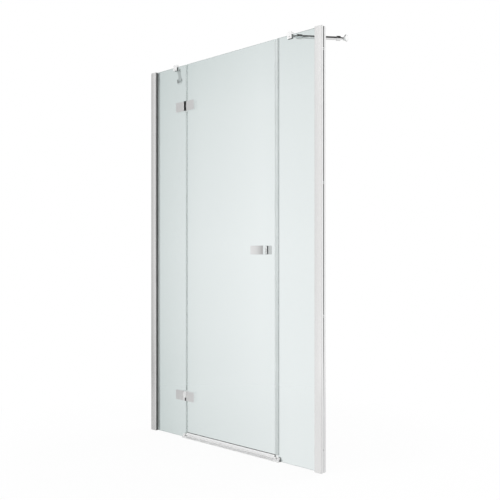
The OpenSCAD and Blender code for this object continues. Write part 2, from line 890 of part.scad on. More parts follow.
module handle_inner_spacer() {
    color(dark_rubber) across(inner_base_y, inner_spacer_y)
        handle_plate(gasket_inset, screw_clearance);
}

module handle_inner_grip() {
    color(chrome) difference() {
        translate([0, inner_spacer_y, 0]) mirror([0, 1, 0]) grip(inner_grip_t);
        for (x = handle_bolt_xs) {
            bar_y(x, handle_z, handle_bolt_d + screw_clearance, 0, inner_face_y);
            bar_y(x, handle_z, handle_bolt_head_d + head_clearance, bolt_head_y, inner_face_y + cut);
        }
    }
}

module handle_gaskets() {
    color(clear_gasket) for (s = [0, 1]) mirror([0, s, 0])
        across(half_glass, half_glass + handle_gasket_t)
        handle_plate(handle_base_inset + handle_gasket_inset, 2 * screw_clearance);
}

module handle_bolts() {
    color(steel) for (x = handle_bolt_xs) difference() {
        union() {
            bar_y(x, handle_z, handle_bolt_d, outer_base_y - handle_bolt_grip + seal_gap, bolt_head_y);
            bar_y(x, handle_z, handle_bolt_head_d, bolt_head_y, bolt_head_y + handle_bolt_head_h);
        }
        hex_socket(x, handle_z, handle_bolt_head_d, bolt_head_y + handle_bolt_head_h, handle_bolt_head_h);
    }
}

// Stays, drawn for the right wall and mirrored for the left

module left_stay() {
    mirror([1, 0, 0]) children();
}

module both_stays() {
    children();
    left_stay() children();
}

// Places children on the arm's line: x runs from the glass pin to the wall pin
module on_arm() {
    translate([glass_pin[0], glass_pin[1], stay_z]) rotate([0, 0, stay_angle]) children();
}

module arm_bar(from, to, d) {
    translate([from, 0, 0]) rotate([0, 90, 0]) cylinder(d = d, h = to - from);
}

// Fork with its pin at the origin and its root at x = -swivel_reach
module fork() {
    difference() {
        for (s = [-1, 1]) translate([0, 0, s * (fork_in + fork_t / 2)]) {
            cylinder(r = swivel_r, h = fork_t, center = true);
            translate([-swivel_reach / 2, 0, 0]) cube([swivel_reach, 2 * swivel_r, fork_t], center = true);
        }
        cylinder(d = swivel_pin_d + 2 * running_gap, h = 2 * (fork_in + fork_t + cut), center = true);
    }
}

module swivel_pin() {
    cylinder(d = swivel_pin_d, h = 2 * (fork_in + fork_t), center = true);
}

// Eye with its bore at the origin and its spigot along +x
module eye(spigot_end) {
    difference() {
        union() {
            cylinder(r = swivel_r, h = eye_t, center = true);
            translate([0, -swivel_r, -eye_t / 2]) cube([swivel_r + eye_shank_l, 2 * swivel_r, eye_t]);
            arm_bar(swivel_r + eye_shank_l - cut, spigot_end, spigot_d);
        }
        cylinder(d = swivel_pin_d + 2 * running_gap, h = eye_t + 2 * cut, center = true);
    }
}

module stay_clamp() {
    top = screen_h + clamp_above;
    bottom = screen_h - clamp_below;
    color(chrome) difference() {
        union() {
            translate([clamp_x - clamp_w / 2, -clamp_half_d, bottom])
                cube([clamp_w, 2 * clamp_half_d, top - bottom]);
            translate([glass_pin[0], glass_pin[1], stay_z]) rotate([0, 0, 90]) fork();
        }
        translate([clamp_x - clamp_w / 2 - cut, -clamp_slot, bottom - cut])
            cube([clamp_w + 2 * cut, 2 * clamp_slot, clamp_below + clamp_liner_t + cut]);
        bar_y(clamp_x, grub_z, grub_d + 2 * running_gap, -clamp_half_d - cut, 0);
    }
}

module clamp_liner() {
    half_w = clamp_w / 2 - clamp_liner_inset;
    bottom = screen_h - clamp_below;
    translate([clamp_x - half_w, 0, 0]) along_x(0, 2 * half_w) difference() {
        translate([-clamp_slot, bottom]) square([2 * clamp_slot, clamp_below + clamp_liner_t]);
        translate([-half_glass, bottom - cut]) square([glass_t, clamp_below + cut]);
    }
}

module stay_clamp_liners() {
    color(dark_rubber) both_stays() clamp_liner();
}

module stay_clamp_screws() {
    color(steel) both_stays() difference() {
        bar_y(clamp_x, grub_z, grub_d, -clamp_half_d, -clamp_slot);
        mirror([0, 1, 0]) hex_socket(clamp_x, grub_z, grub_d, clamp_half_d, clamp_wall);
    }
}

module stay_clamp_pins() {
    color(steel) both_stays() translate([glass_pin[0], glass_pin[1], stay_z]) swivel_pin();
}

module stay_glass_eye() {
    color(chrome) on_arm() eye(neck_l + glass_collar_l + spigot_l);
}

module stay_wall_eye() {
    color(chrome) on_arm() translate([stay_l, 0, 0]) mirror([1, 0, 0])
        eye(neck_l + wall_collar_l + spigot_l);
}

module stay_rod() {
    from = neck_l + glass_collar_l;
    to = stay_l - neck_l - wall_collar_l;
    color(chrome) on_arm() difference() {
        arm_bar(from, to, rod_d);
        arm_bar(from - cut, to + cut, spigot_d + 2 * running_gap);
    }
}

module collar(from, l) {
    difference() {
        arm_bar(from, from + l, collar_d);
        arm_bar(from - cut, from + l + cut, spigot_d + 2 * running_gap);
    }
}

module stay_collars() {
    color(chrome) on_arm() {
        collar(neck_l, glass_collar_l);
        collar(stay_l - neck_l - wall_collar_l, wall_collar_l);
    }
}

module stay_flange() {
    color(chrome) difference() {
        union() {
            translate([half_span - flange_t, stay_out, stay_z]) rotate([0, 90, 0])
                cylinder(d = flange_d, h = flange_t);
            translate([wall_pin[0], wall_pin[1], stay_z]) rotate([0, 0, 180]) fork();
        }
        for (s = [-1, 1])
            translate([half_span - flange_t - cut, stay_out, stay_z + s * flange_hole_pitch / 2])
                rotate([0, 90, 0]) cylinder(d = flange_hole_d, h = flange_t + 2 * cut);
    }
}

module stay_flange_pin() {
    color(steel) translate([wall_pin[0], wall_pin[1], stay_z]) swivel_pin();
}

at_left_wall() wall_channel();  // left_wall_channel
at_right_wall() wall_channel();  // right_wall_channel
at_left_wall() glass_profile();  // left_glass_profile
at_right_wall() glass_profile();  // right_glass_profile
at_left_wall() glazing_gaskets();  // left_glazing_gaskets
at_right_wall() glazing_gaskets();  // right_glazing_gaskets
at_left_wall() top_cap();  // left_top_cap
at_right_wall() top_cap();  // right_top_cap
profile_screws();
left_fixed_glass();
right_fixed_glass();
door_glass();
hinge_frame_leaf(1);  // upper_hinge_frame_leaf
hinge_door_leaf(1);  // upper_hinge_door_leaf
hinge_frame_back_plate(1);  // upper_hinge_frame_back_plate
hinge_door_back_plate(1);  // upper_hinge_door_back_plate
hinge_frame_leaf(0);  // lower_hinge_frame_leaf
hinge_door_leaf(0);  // lower_hinge_door_leaf
hinge_frame_back_plate(0);  // lower_hinge_frame_back_plate
hinge_door_back_plate(0);  // lower_hinge_door_back_plate
hinge_frame_gaskets();
hinge_door_gaskets();
hinge_pins();
hinge_bushes();
hinge_frame_screws();
hinge_door_screws();
hinge_side_seal();
door_bottom_seal();
door_magnetic_seal();
door_magnet_strip();
panel_magnetic_seal();
panel_magnet_strip();
threshold();
left_end_block();
right_end_block();
handle_outer_grip();
handle_outer_base();
handle_inner_grip();
handle_inner_base();
handle_inner_spacer();
handle_gaskets();
handle_bolts();
left_stay() stay_clamp();  // left_stay_clamp
stay_clamp();  // right_stay_clamp
stay_clamp_liners();
stay_clamp_screws();
stay_clamp_pins();
left_stay() stay_glass_eye();  // left_stay_glass_eye
stay_glass_eye();  // right_stay_glass_eye
left_stay() stay_rod();  // left_stay_rod
stay_rod();  // right_stay_rod
left_stay() stay_collars();  // left_stay_collars
stay_collars();  // right_stay_collars
left_stay() stay_wall_eye();  // left_stay_wall_eye
stay_wall_eye();  // right_stay_wall_eye
left_stay() stay_flange();  // left_stay_flange
stay_flange();  // right_stay_flange
left_stay() stay_flange_pin();  // left_stay_flange_pin
stay_flange_pin();  // right_stay_flange_pin
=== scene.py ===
import json
import math

import bmesh
import bpy
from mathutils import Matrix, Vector


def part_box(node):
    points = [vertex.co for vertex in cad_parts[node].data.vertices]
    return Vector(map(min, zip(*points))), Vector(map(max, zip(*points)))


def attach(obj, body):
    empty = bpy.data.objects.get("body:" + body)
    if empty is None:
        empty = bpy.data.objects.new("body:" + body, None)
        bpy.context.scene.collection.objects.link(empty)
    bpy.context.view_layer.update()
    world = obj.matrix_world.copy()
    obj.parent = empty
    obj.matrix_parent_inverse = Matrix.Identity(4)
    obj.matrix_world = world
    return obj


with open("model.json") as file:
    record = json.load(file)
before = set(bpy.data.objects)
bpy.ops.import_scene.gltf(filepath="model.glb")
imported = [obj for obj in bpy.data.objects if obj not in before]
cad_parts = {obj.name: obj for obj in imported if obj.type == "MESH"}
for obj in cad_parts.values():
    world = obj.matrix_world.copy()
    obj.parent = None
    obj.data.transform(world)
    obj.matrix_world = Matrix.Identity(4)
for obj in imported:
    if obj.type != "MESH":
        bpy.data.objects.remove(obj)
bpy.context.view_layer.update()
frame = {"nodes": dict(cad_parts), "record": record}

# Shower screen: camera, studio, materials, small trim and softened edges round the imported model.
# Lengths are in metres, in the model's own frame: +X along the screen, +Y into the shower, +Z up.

NODES = frame["nodes"]
RECORD = frame["record"]
JOINTS = {joint["name"]: joint for joint in RECORD["behaviour"]["joints"]}
MOUNTS = {mount["name"]: mount for mount in RECORD["mounts"]}
SLOTS = {part["node"]: part["material_slot"] for part in RECORD["subparts"]}

# Photograph's frame and the viewpoint worked out from the screen's edges in it
PHOTO_PX = 500
FOCAL_PX = 632.1
CENTRE_PX = (230.0, 259.4)
CAMERA_AT = (2.056, -2.342, 0.931)
CAMERA_TURN_DEG = 41.17
SENSOR_MM = 36
CLIP_END = 200


def make_camera():
    """Level camera at chest height, in front of the screen and to the right of it."""
    data = bpy.data.cameras.new("camera")
    data.sensor_width = SENSOR_MM
    data.lens = SENSOR_MM * FOCAL_PX / PHOTO_PX
    data.shift_x = 0.5 - CENTRE_PX[0] / PHOTO_PX
    data.shift_y = CENTRE_PX[1] / PHOTO_PX - 0.5
    data.clip_end = CLIP_END
    camera = bpy.data.objects.new("camera", data)
    camera.location = CAMERA_AT
    camera.rotation_euler = (math.radians(90), 0, math.radians(CAMERA_TURN_DEG))
    bpy.context.scene.collection.objects.link(camera)
    bpy.context.scene.camera = camera


class Nodes:
    """Builds a node tree; an input is a plain value or another node's output."""

    def __init__(self, tree):
        self.tree = tree
        tree.nodes.clear()

    def set(self, socket, value):
        """Links a socket to another node's output, or gives it a plain value."""
        if isinstance(value, bpy.types.NodeSocket):
            self.tree.links.new(value, socket)
        else:
            socket.default_value = value

    def add(self, kind, inputs=None, **settings):
        node = self.tree.nodes.new(kind)
        for name, value in settings.items():
            setattr(node, name, value)
        for key, value in (inputs or {}).items():
            self.set(node.inputs[key], value)
        return node

    def math(self, operation, a, b=0.0, clamp=False):
        node = self.add("ShaderNodeMath", {0: a, 1: b}, operation=operation, use_clamp=clamp)
        return node.outputs[0]

    def parts(self, vector):
        """The X, Y and Z of a vector, by name."""
        return self.add("ShaderNodeSeparateXYZ", {0: vector}).outputs

    def ramp(self, value, low, high, at_low=0.0, at_high=1.0):
        """Runs smoothly from at_low to at_high as value goes from low to high."""
        inputs = {"Value": value, 1: low, 2: high, 3: at_low, 4: at_high}
        node = self.add("ShaderNodeMapRange", inputs, interpolation_type="SMOOTHSTEP")
        return node.outputs[0]

    def curve(self, value, stops):
        """A level that follows straight lines between its stops, each a value and its level."""
        low, high = stops[0][0], stops[-1][0]
        place = self.add("ShaderNodeMapRange", {"Value": value, 1: low, 2: high}).outputs[0]
        ramp = self.add("ShaderNodeValToRGB", {"Fac": place})
        elements = ramp.color_ramp.elements
        while len(elements) < len(stops):
            elements.new(0.5)
        for element, (at, level) in zip(elements, stops):
            element.position = (at - low) / (high - low)
            element.color = grey(level)
        return ramp.outputs["Color"]

    def mix(self, factor, a, b):
        """Mixes two colours."""
        node = self.add("ShaderNodeMix", {0: factor, 6: a, 7: b}, data_type="RGBA")
        return node.outputs[2]

    def mix_shader(self, factor, a, b):
        return self.add("ShaderNodeMixShader", {0: factor, 1: a, 2: b}).outputs[0]

    def emission(self, color):
        return self.add("ShaderNodeEmission", {"Color": color}).outputs[0]

    def noise(self, vector, scale, detail=2.0, roughness=0.5):
        inputs = {"Vector": vector, "Scale": scale, "Detail": detail, "Roughness": roughness}
        return self.add("ShaderNodeTexNoise", inputs).outputs["Fac"]

    def patches(self, vector, scale, detail=3.0, roughness=0.55):
        """Soft patches between 0 and 1, such as moulding leaves on a surface."""
        return self.ramp(self.noise(vector, scale, detail, roughness), 0.3, 0.7)

    def scaled(self, vector, scale):
        inputs = {0: vector, 1: scale}
        return self.add("ShaderNodeVectorMath", inputs, operation="MULTIPLY").outputs[0]

    def bump(self, height, distance, strength):
        inputs = {"Height": height, "Distance": distance, "Strength": strength}
        return self.add("ShaderNodeBump", inputs).outputs[0]


def grey(level, warm=0.0):
    return (level * (1 + warm), level, level * (1 - warm), 1.0)


def new_material(name):
    """A material with an empty tree, its object coordinates and its shader."""
    material = bpy.data.materials.new(name)
    material.use_nodes = True
    nodes = Nodes(material.node_tree)
    shader = nodes.add("ShaderNodeBsdfPrincipled")
    output = nodes.add("ShaderNodeOutputMaterial", {"Surface": shader.outputs[0]})
    output.is_active_output = True
    coordinates = nodes.add("ShaderNodeTexCoord")
    return material, nodes, shader, coordinates


# How much of a face's normal lies along Y before it counts as looking to the front or the back
FRONT_SHARE = (0.4, 0.8)


def faces_front(nodes, coordinates):
    """1 on the faces that look along Y, to either side of the screen, and 0 on the others."""
    facing = nodes.parts(coordinates.outputs["Normal"])
    return nodes.ramp(nodes.math("ABSOLUTE", facing["Y"]), *FRONT_SHARE)


# What a metal's grain leaves of its colour, where it is darkest
GRAIN_SHADE = 0.965


def metal(
    name, color, roughness, smudge, grain_scale, grain=(1, 1, 1), grain_depth=0.0, metallic=1.0, painted_lit_sides=None
):
    """Metal whose gloss varies by wiping marks, with a fine grain drawn out along its short scale.

    Faces that don't look along Y take a lighter colour, painted light on the sides, where one is given.
    """
    material, nodes, shader, coordinates = new_material(name)
    place = coordinates.outputs["Object"]
    marks = nodes.noise(place, scale=9.0, detail=4.0, roughness=0.62)
    streaks = nodes.noise(nodes.scaled(place, grain), grain_scale, detail=2.0, roughness=0.6)
    wiped = nodes.ramp(marks, 0.35, 0.72, roughness, roughness + smudge)
    brushed = nodes.ramp(streaks, 0.3, 0.7, 0.0, smudge)
    nodes.set(shader.inputs["Roughness"], nodes.math("ADD", wiped, brushed))
    low = tuple(c * GRAIN_SHADE for c in color[:3]) + (1.0,)
    base = nodes.mix(streaks, low, color)
    # Painted light: the faces that don't look along Y take the lighter colour
    if painted_lit_sides:
        base = nodes.mix(faces_front(nodes, coordinates), painted_lit_sides, base)
    nodes.set(shader.inputs["Base Color"], base)
    nodes.set(shader.inputs["Metallic"], metallic)
    if grain_depth:
        nodes.set(shader.inputs["Normal"], nodes.bump(streaks, grain_depth, strength=0.6))
    return material


def plastic(name, color, dark, roughness, grain_scale, grain_depth):
    """Moulded plastic or rubber: a fine grain, and patches a little darker and glossier."""
    material, nodes, shader, coordinates = new_material(name)
    place = coordinates.outputs["Object"]
    grain = nodes.noise(place, grain_scale, detail=2.0, roughness=0.6)
    patches = nodes.noise(place, scale=14.0, detail=3.0, roughness=0.55)
    nodes.set(shader.inputs["Base Color"], nodes.mix(nodes.ramp(patches, 0.3, 0.7), dark, color))
    nodes.set(shader.inputs["Roughness"], nodes.ramp(patches, 0.3, 0.7, roughness, roughness + 0.12))
    nodes.set(shader.inputs["Normal"], nodes.bump(grain, grain_depth, strength=0.5))
    return material


GLASS_TINT_SHADED = (0.555, 0.620, 0.612, 1.0)
GLASS_TINT_LIT = (0.840, 0.884, 0.884, 1.0)
GLASS_EDGE = (0.82, 0.89, 0.87, 1.0)
GLASS_IOR = 1.52
# Painted light and shade in the glass's tint, from the darkest tint at 0 to the lightest at 1: along the
# screen, and what height takes from that towards the foot and towards the head
GLASS_LIGHT_ALONG = ((-0.53, 0.30), (-0.42, 0.45), (-0.20, 0.73), (0.0, 0.84), (0.20, 0.97), (0.45, 0.90))
GLASS_FOOT_SHADE = ((0.0, 0.24), (0.3, 0.15), (0.6, 0.05), (1.0, 0.0))
GLASS_HEAD_SHADE = ((1.0, 0.0), (1.45, 0.13), (1.68, 0.22), (1.95, 0.46))
# Share of the foot's and of the head's part that counts along the screen: from and to, and the share at each
FOOT_SHARE = (0.20, 0.40, 1.0, 0.15)
HEAD_SHARE = (-0.45, -0.25, 0.7, 1.0)
# Roughness and transmission of the cut edges; the faces have 0 and 1
EDGE_ROUGHNESS = 0.35
EDGE_TRANSMISSION = 0.25


def glass_material():
    """Toughened glass: faintly green, ground on its cut edges, with painted light and shade in its tint,
    lighter towards the right of the screen.
    """
    material, nodes, shader, coordinates = new_material("toughened_glass")
    place = nodes.parts(coordinates.outputs["Object"])
    along = nodes.curve(place["X"], GLASS_LIGHT_ALONG)
    foot_share = nodes.ramp(place["X"], *FOOT_SHARE)
    foot = nodes.math("MULTIPLY", nodes.curve(place["Z"], GLASS_FOOT_SHADE), foot_share)
    head_share = nodes.ramp(place["X"], *HEAD_SHARE)
    head = nodes.math("MULTIPLY", nodes.curve(place["Z"], GLASS_HEAD_SHADE), head_share)
    height = nodes.math("ADD", foot, head)
    # Painted light and shade: how light the tint is, by place on the pane
    clear = nodes.math("SUBTRACT", along, height, clamp=True)
    body = nodes.mix(clear, GLASS_TINT_SHADED, GLASS_TINT_LIT)
    front = faces_front(nodes, coordinates)
    nodes.set(shader.inputs["Base Color"], nodes.mix(front, GLASS_EDGE, body))
    nodes.set(shader.inputs["Roughness"], nodes.ramp(front, 0.0, 1.0, EDGE_ROUGHNESS, 0.0))
    nodes.set(shader.inputs["IOR"], GLASS_IOR)
    nodes.set(shader.inputs["Transmission Weight"], nodes.ramp(front, 0.0, 1.0, EDGE_TRANSMISSION, 1.0))
    return material


VINYL_IOR = 1.38


def seal_material(name, dark, color, alpha, roughness):
    """Flexible vinyl: clear or milky, with faint flow lines along it."""
    material, nodes, shader, coordinates = new_material(name)
    place = coordinates.outputs["Object"]
    lines = nodes.noise(nodes.scaled(place, (1, 1, 0.02)), scale=900.0, detail=2.0, roughness=0.5)
    patches = nodes.patches(place, scale=6.0, roughness=0.5)
    nodes.set(shader.inputs["Base Color"], nodes.mix(patches, dark, color))
    nodes.set(shader.inputs["Roughness"], nodes.ramp(lines, 0.3, 0.7, roughness, roughness + 0.10))
    nodes.set(shader.inputs["IOR"], VINYL_IOR)
    nodes.set(shader.inputs["Alpha"], alpha)
    nodes.set(shader.inputs["Normal"], nodes.bump(lines, 0.00002, strength=0.3))
    return material


# Half of the depth over which the gasket's room side runs into its back, a pale mirror that is painted light
GASKET_BLEND = 0.0005


def gasket_material():
    """Glazing gaskets: dark rubber on the room side; behind the glass, a pale mirror finish that paints
    light where the gasket lies in shade.
    """
    material, nodes, shader, coordinates = new_material("glazing_gasket")
    place = coordinates.outputs["Object"]
    behind = nodes.ramp(nodes.parts(place)["Y"], -GASKET_BLEND, GASKET_BLEND)
    grain = nodes.noise(place, scale=1600.0, detail=2.0, roughness=0.6)
    patches = nodes.patches(place, scale=14.0)
    front = nodes.mix(patches, grey(0.12), grey(0.15))
    # Painted light: the part behind the glass is a pale mirror, lit though it lies in shade
    back = nodes.mix(patches, grey(0.94), grey(0.98))
    nodes.set(shader.inputs["Metallic"], behind)
    nodes.set(shader.inputs["Base Color"], nodes.mix(behind, front, back))
    nodes.set(shader.inputs["Roughness"], nodes.math("ADD", 0.55, nodes.math("MULTIPLY", patches, 0.1)))
    nodes.set(shader.inputs["Normal"], nodes.bump(grain, 0.00005, strength=0.5))
    return material


# Level of the tape by height in the right groove: painted light on its lower part, where the floor's light
# falls
TAPE_PAINTED_LIGHT = (
    (0.0, 0.78), (0.28, 0.82), (0.41, 0.60), (0.55, 0.28), (0.75, 0.09), (1.19, 0.02), (1.5, 0.008)
)
# Half of the stretch in the middle of the screen that tells the left tape from the right one
TAPE_SPLIT = 0.1
TAPE_BLACK = grey(0.02)
PORE_BLACK = grey(0.01)
PORE_SHARE = 0.15


def tape_material():
    """Foam tape with open pores: dark, with painted light at the foot of the right groove."""
    material, nodes, shader, coordinates = new_material("foam_tape")
    place = coordinates.outputs["Object"]
    parts = nodes.parts(place)
    pores = nodes.noise(place, scale=2600.0, detail=2.0, roughness=0.6)
    # Painted light: the right tape is lighter towards the floor
    painted_foot_light = nodes.curve(parts["Z"], TAPE_PAINTED_LIGHT)
    level = nodes.mix(nodes.ramp(parts["X"], -TAPE_SPLIT, TAPE_SPLIT), TAPE_BLACK, painted_foot_light)
    pore_share = nodes.ramp(pores, 0.4, 0.6, 0.0, PORE_SHARE)
    nodes.set(shader.inputs["Base Color"], nodes.mix(pore_share, level, PORE_BLACK))
    nodes.set(shader.inputs["Roughness"], nodes.ramp(pores, 0.3, 0.7, 0.75, 0.87))
    nodes.set(shader.inputs["Normal"], nodes.bump(pores, 0.00012, strength=0.5))
    return material


# Scale of the grain that rolling leaves along an upright profile and along the threshold
UPRIGHT_GRAIN = (1, 1, 0.012)
LYING_GRAIN = (0.02, 1, 1)
MILKY_DARK = (0.72, 0.77, 0.765, 1.0)
MILKY = (0.76, 0.81, 0.805, 1.0)
CLEAR_DARK = (0.74, 0.80, 0.79, 1.0)
CLEAR = (0.78, 0.84, 0.83, 1.0)


def make_metals():
    return {
        # The chromes' lighter sides are painted light
        "chrome": metal(
            "chrome_plate", grey(0.88), roughness=0.035, smudge=0.02, grain_scale=60.0, painted_lit_sides=grey(0.96)
        ),
        "satin_chrome": metal(
            "satin_chrome", grey(0.88), roughness=0.20, smudge=0.05, grain_scale=500.0, painted_lit_sides=grey(0.98)
        ),
        "soft_chrome": metal("soft_chrome", grey(0.70), roughness=0.24, smudge=0.05, grain_scale=500.0),
        "pale_chrome": metal(
            "pale_chrome", grey(0.86), roughness=0.16, smudge=0.04, grain_scale=500.0, metallic=0.2
        ),
        "bright_profile": metal(
            "bright_aluminium", grey(0.93, warm=0.004), roughness=0.12, smudge=0.05,
            grain_scale=700.0, grain=UPRIGHT_GRAIN, grain_depth=0.00002, metallic=0.9,
        ),
        "aluminium": metal(
            "satin_aluminium", grey(0.93), roughness=0.24, smudge=0.08,
            grain_scale=900.0, grain=UPRIGHT_GRAIN, grain_depth=0.00004,
        ),
        "threshold_aluminium": metal(
            "threshold_aluminium", grey(0.86), roughness=0.22, smudge=0.07,
            grain_scale=800.0, grain=LYING_GRAIN, grain_depth=0.00003, metallic=0.35,
        ),
        "steel": metal(
            "stainless_steel", grey(0.62), roughness=0.22, smudge=0.06,
            grain_scale=1500.0, grain_depth=0.00001,
        ),
    }


def make_plastics():
    return {
        "clear_seal": seal_material("milky_vinyl", MILKY_DARK, MILKY, alpha=0.8, roughness=0.25),
        "clear_hinge_seal": seal_material("clear_vinyl", CLEAR_DARK, CLEAR, alpha=0.25, roughness=0.08),
        "white_seal": seal_material("white_vinyl", grey(0.94), grey(0.98), alpha=0.95, roughness=0.25),
        "glazing_rubber": gasket_material(),
        "black_rubber": plastic(
            "black_rubber", grey(0.022), grey(0.014), roughness=0.50, grain_scale=1600.0, grain_depth=0.00004
        ),
        "clear_gasket": plastic(
            "clear_gasket", grey(0.66), grey(0.62), roughness=0.40, grain_scale=1600.0, grain_depth=0.00004
        ),
        "foam_tape": tape_material(),
        "magnet": plastic(
            "magnet_strip", grey(0.62), grey(0.56), roughness=0.45, grain_scale=1200.0, grain_depth=0.00003
        ),
        "white_plastic": plastic(
            "white_plastic", grey(0.82), grey(0.78), roughness=0.32, grain_scale=2200.0, grain_depth=0.00003
        ),
    }


def make_materials():
    """One material for each slot of the record, and some for pieces that look different in their slot."""
    return {**make_metals(), "glass": glass_material(), **make_plastics()}


# Nodes whose look differs from their slot's usual one
SPECIAL_LOOKS = {
    "hinge_side_seal": "clear_hinge_seal",
    "door_bottom_seal": "white_seal",
    # The inner spacer's black is painted shade: a dark piece where the grip's set-back neck lies in shadow
    "handle_inner_spacer": "black_rubber",
    "handle_inner_grip": "soft_chrome",
    "stay_clamp_liners": "black_rubber",
    "left_stay_clamp": "pale_chrome",
    "right_stay_clamp": "pale_chrome",
}


def dress_nodes(materials):
    """Gives each CAD node its material; the hinges' chrome is satin."""
    for name, node in NODES.items():
        look = SPECIAL_LOOKS.get(name, SLOTS[name])
        if "hinge" in name and look == "chrome":
            look = "satin_chrome"
        node.data.materials.clear()
        node.data.materials.append(materials[look])


# Radius of a node's softened edges, by the first of these words in its name; the rest stay sharp
SOFTEN = {
    "glass": 0.0006,
    "leaf": 0.0008,
    "plate": 0.0006,
    "grip": 0.0012,
    "base": 0.0006,
    "clamp": 0.0010,
    "flange": 0.0006,
    "collar": 0.0006,
    "eye": 0.0005,
    "block": 0.0008,
    "cap": 0.0005,
    "profile": 0.0003,
    "threshold": 0.0004,
}
# Rubber and seals are thinned by this much, so that the glass they touch doesn't swallow their faces
THINNED = ("gasket", "seal", "liner")
STAND_OFF = 0.00005
# Faces' points closer together than this are joined, and faces that turn by less than this are merged
JOIN_WITHIN = 0.000002
FLAT_DEG = 0.4
# Edges that turn by more than this stay sharp in shading
SHARP_DEG = 32


def geometry_group(name):
    """A geometry group, its tree and the geometry that comes into it."""
    group = bpy.data.node_groups.new(name, "GeometryNodeTree")
    for way in ("INPUT", "OUTPUT"):
        group.interface.new_socket("Geometry", in_out=way, socket_type="NodeSocketGeometry")
    nodes = Nodes(group)
    return group, nodes, nodes.add("NodeGroupInput").outputs[0]


def clean_group():
    """Geometry group that joins the faces' points and drops the stored normals."""
    group, nodes, entry = geometry_group("join_points")
    bare = nodes.add("GeometryNodeRemoveAttribute", {0: entry, "Name": "custom_normal"}).outputs[0]
    joined = nodes.add("GeometryNodeMergeByDistance", {0: bare, "Distance": JOIN_WITHIN}).outputs[0]
    nodes.add("NodeGroupOutput", {0: joined})
    return group


def smooth_group():
    """Geometry group that shades smooth, but for the sharp edges."""
    group, nodes, entry = geometry_group("smooth_by_angle")

    def shade(shape, smooth, domain):
        inputs = {0: shape, "Shade Smooth": smooth}
        return nodes.add("GeometryNodeSetShadeSmooth", inputs, domain=domain).outputs[0]

    faces = shade(entry, True, "FACE")
    angle = nodes.add("GeometryNodeInputMeshEdgeAngle").outputs[0]
    inputs = {0: angle, 1: math.radians(SHARP_DEG)}
    soft = nodes.add("FunctionNodeCompare", inputs, operation="LESS_THAN").outputs[0]
    nodes.add("NodeGroupOutput", {0: shade(faces, soft, "EDGE")})
    return group


def add_bevel(piece, width, segments, turn):
    """Rounds the edges that turn by more than so many degrees."""
    bevel = piece.modifiers.new("soft_edges", "BEVEL")
    bevel.width = width
    bevel.segments = segments
    bevel.limit_method = "ANGLE"
    bevel.angle_limit = math.radians(turn)
    return bevel


def soften_edges():
    """Rounds the CAD nodes' edges with modifiers; their own meshes stay as they are."""
    join, smooth = clean_group(), smooth_group()
    for name, node in NODES.items():
        radius = next((r for word, r in SOFTEN.items() if word in name and "gasket" not in name), 0)
        node.modifiers.new("join", "NODES").node_group = join
        flat = node.modifiers.new("flat_faces", "DECIMATE")
        flat.decimate_type = "DISSOLVE"
        flat.angle_limit = math.radians(FLAT_DEG)
        if any(word in name for word in THINNED):
            thinned = node.modifiers.new("stand_off", "DISPLACE")
            thinned.mid_level = 0
            thinned.strength = -STAND_OFF
        if radius:
            add_bevel(node, radius, segments=3, turn=30).miter_outer = "MITER_ARC"
        node.modifiers.new("smooth", "NODES").node_group = smooth
        weighted = node.modifiers.new("weighted_normals", "WEIGHTED_NORMAL")
        weighted.keep_sharp = True
        weighted.mode = "FACE_AREA"


def prisms(name, shapes, lay, body, material, rounding):
    """One piece of upright or lying prisms: each shape is an outline in (u, v) and two heights w."""
    mesh = bpy.data.meshes.new(name)
    build = bmesh.new()
    for outline, low, high in shapes:
        rings = [[build.verts.new(lay(u, v, w)) for u, v in outline] for w in (low, high)]
        count = len(outline)
        build.faces.new(rings[0])
        build.faces.new(rings[1])
        for i in range(count):
            k = (i + 1) % count
            build.faces.new((rings[0][i], rings[0][k], rings[1][k], rings[1][i]))
    bmesh.ops.recalc_face_normals(build, faces=build.faces)
    build.to_mesh(mesh)
    build.free()
    piece = bpy.data.objects.new(name, mesh)
    bpy.context.scene.collection.objects.link(piece)
    mesh.materials.append(material)
    add_bevel(piece, rounding, segments=2, turn=40)
    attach(piece, body)


def upright(u, v, w):
    """An outline in X and Y, run along Z."""
    return (u, v, w)


def lying(u, v, w):
    """An outline in Y and Z, run along X."""
    return (w, u, v)


def box_outline(low, high):
    return [(low[0], low[1]), (high[0], low[1]), (high[0], high[1]), (low[0], high[1])]


def arc_band(centre, inner, outer, turn_from, turn_to, step=5):
    """Outline of a band between two radii, from one direction to another in degrees."""
    count = round((turn_to - turn_from) / step)
    turns = [math.radians(turn_from + (turn_to - turn_from) * i / count) for i in range(count + 1)]

    def ring(radius, order):
        return [(centre[0] + radius * math.cos(a), centre[1] + radius * math.sin(a)) for a in order]

    return ring(outer, turns) + ring(inner, reversed(turns))


# Sizes of the hinges that the part's source has too
BARREL_R = 0.008
DOOR_KNUCKLE_H = 0.0164
KNUCKLE_GAP = 0.0003
LEAF_T = 0.011
LEAF_CORNER_R = 0.004
LEAF_BARREL_GAP = 0.003
NECK_T = 0.006

# Thin sleeves that paint shade and light on the hinge barrels: thickness and rounding
PAINT_SLEEVE_T = 0.00035
PAINT_SLEEVE_ROUND = 0.0001
# Directions in degrees that the painted sleeves reach round the barrel; each stops short of the knuckle's
# neck
FRAME_PAINT_SLEEVE = (-150, -15)
DOOR_PAINT_SLEEVE = (-155, -25)
# The same for the dark strip of painted shade on the lower barrel's foot
FOOT_PAINT_SLEEVE = (-60, -20)


def barrel_heights(hinge):
    """Heights of a barrel's frame foot, door knuckle and frame head, each from and to."""
    low, high = (corner[2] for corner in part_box(hinge + "_hinge_frame_leaf"))
    middle = (low + high) / 2
    half = DOOR_KNUCKLE_H / 2
    foot = (low, middle - half - KNUCKLE_GAP)
    door = (middle - half, middle + half)
    head = (middle + half + KNUCKLE_GAP, high)
    return foot, door, head


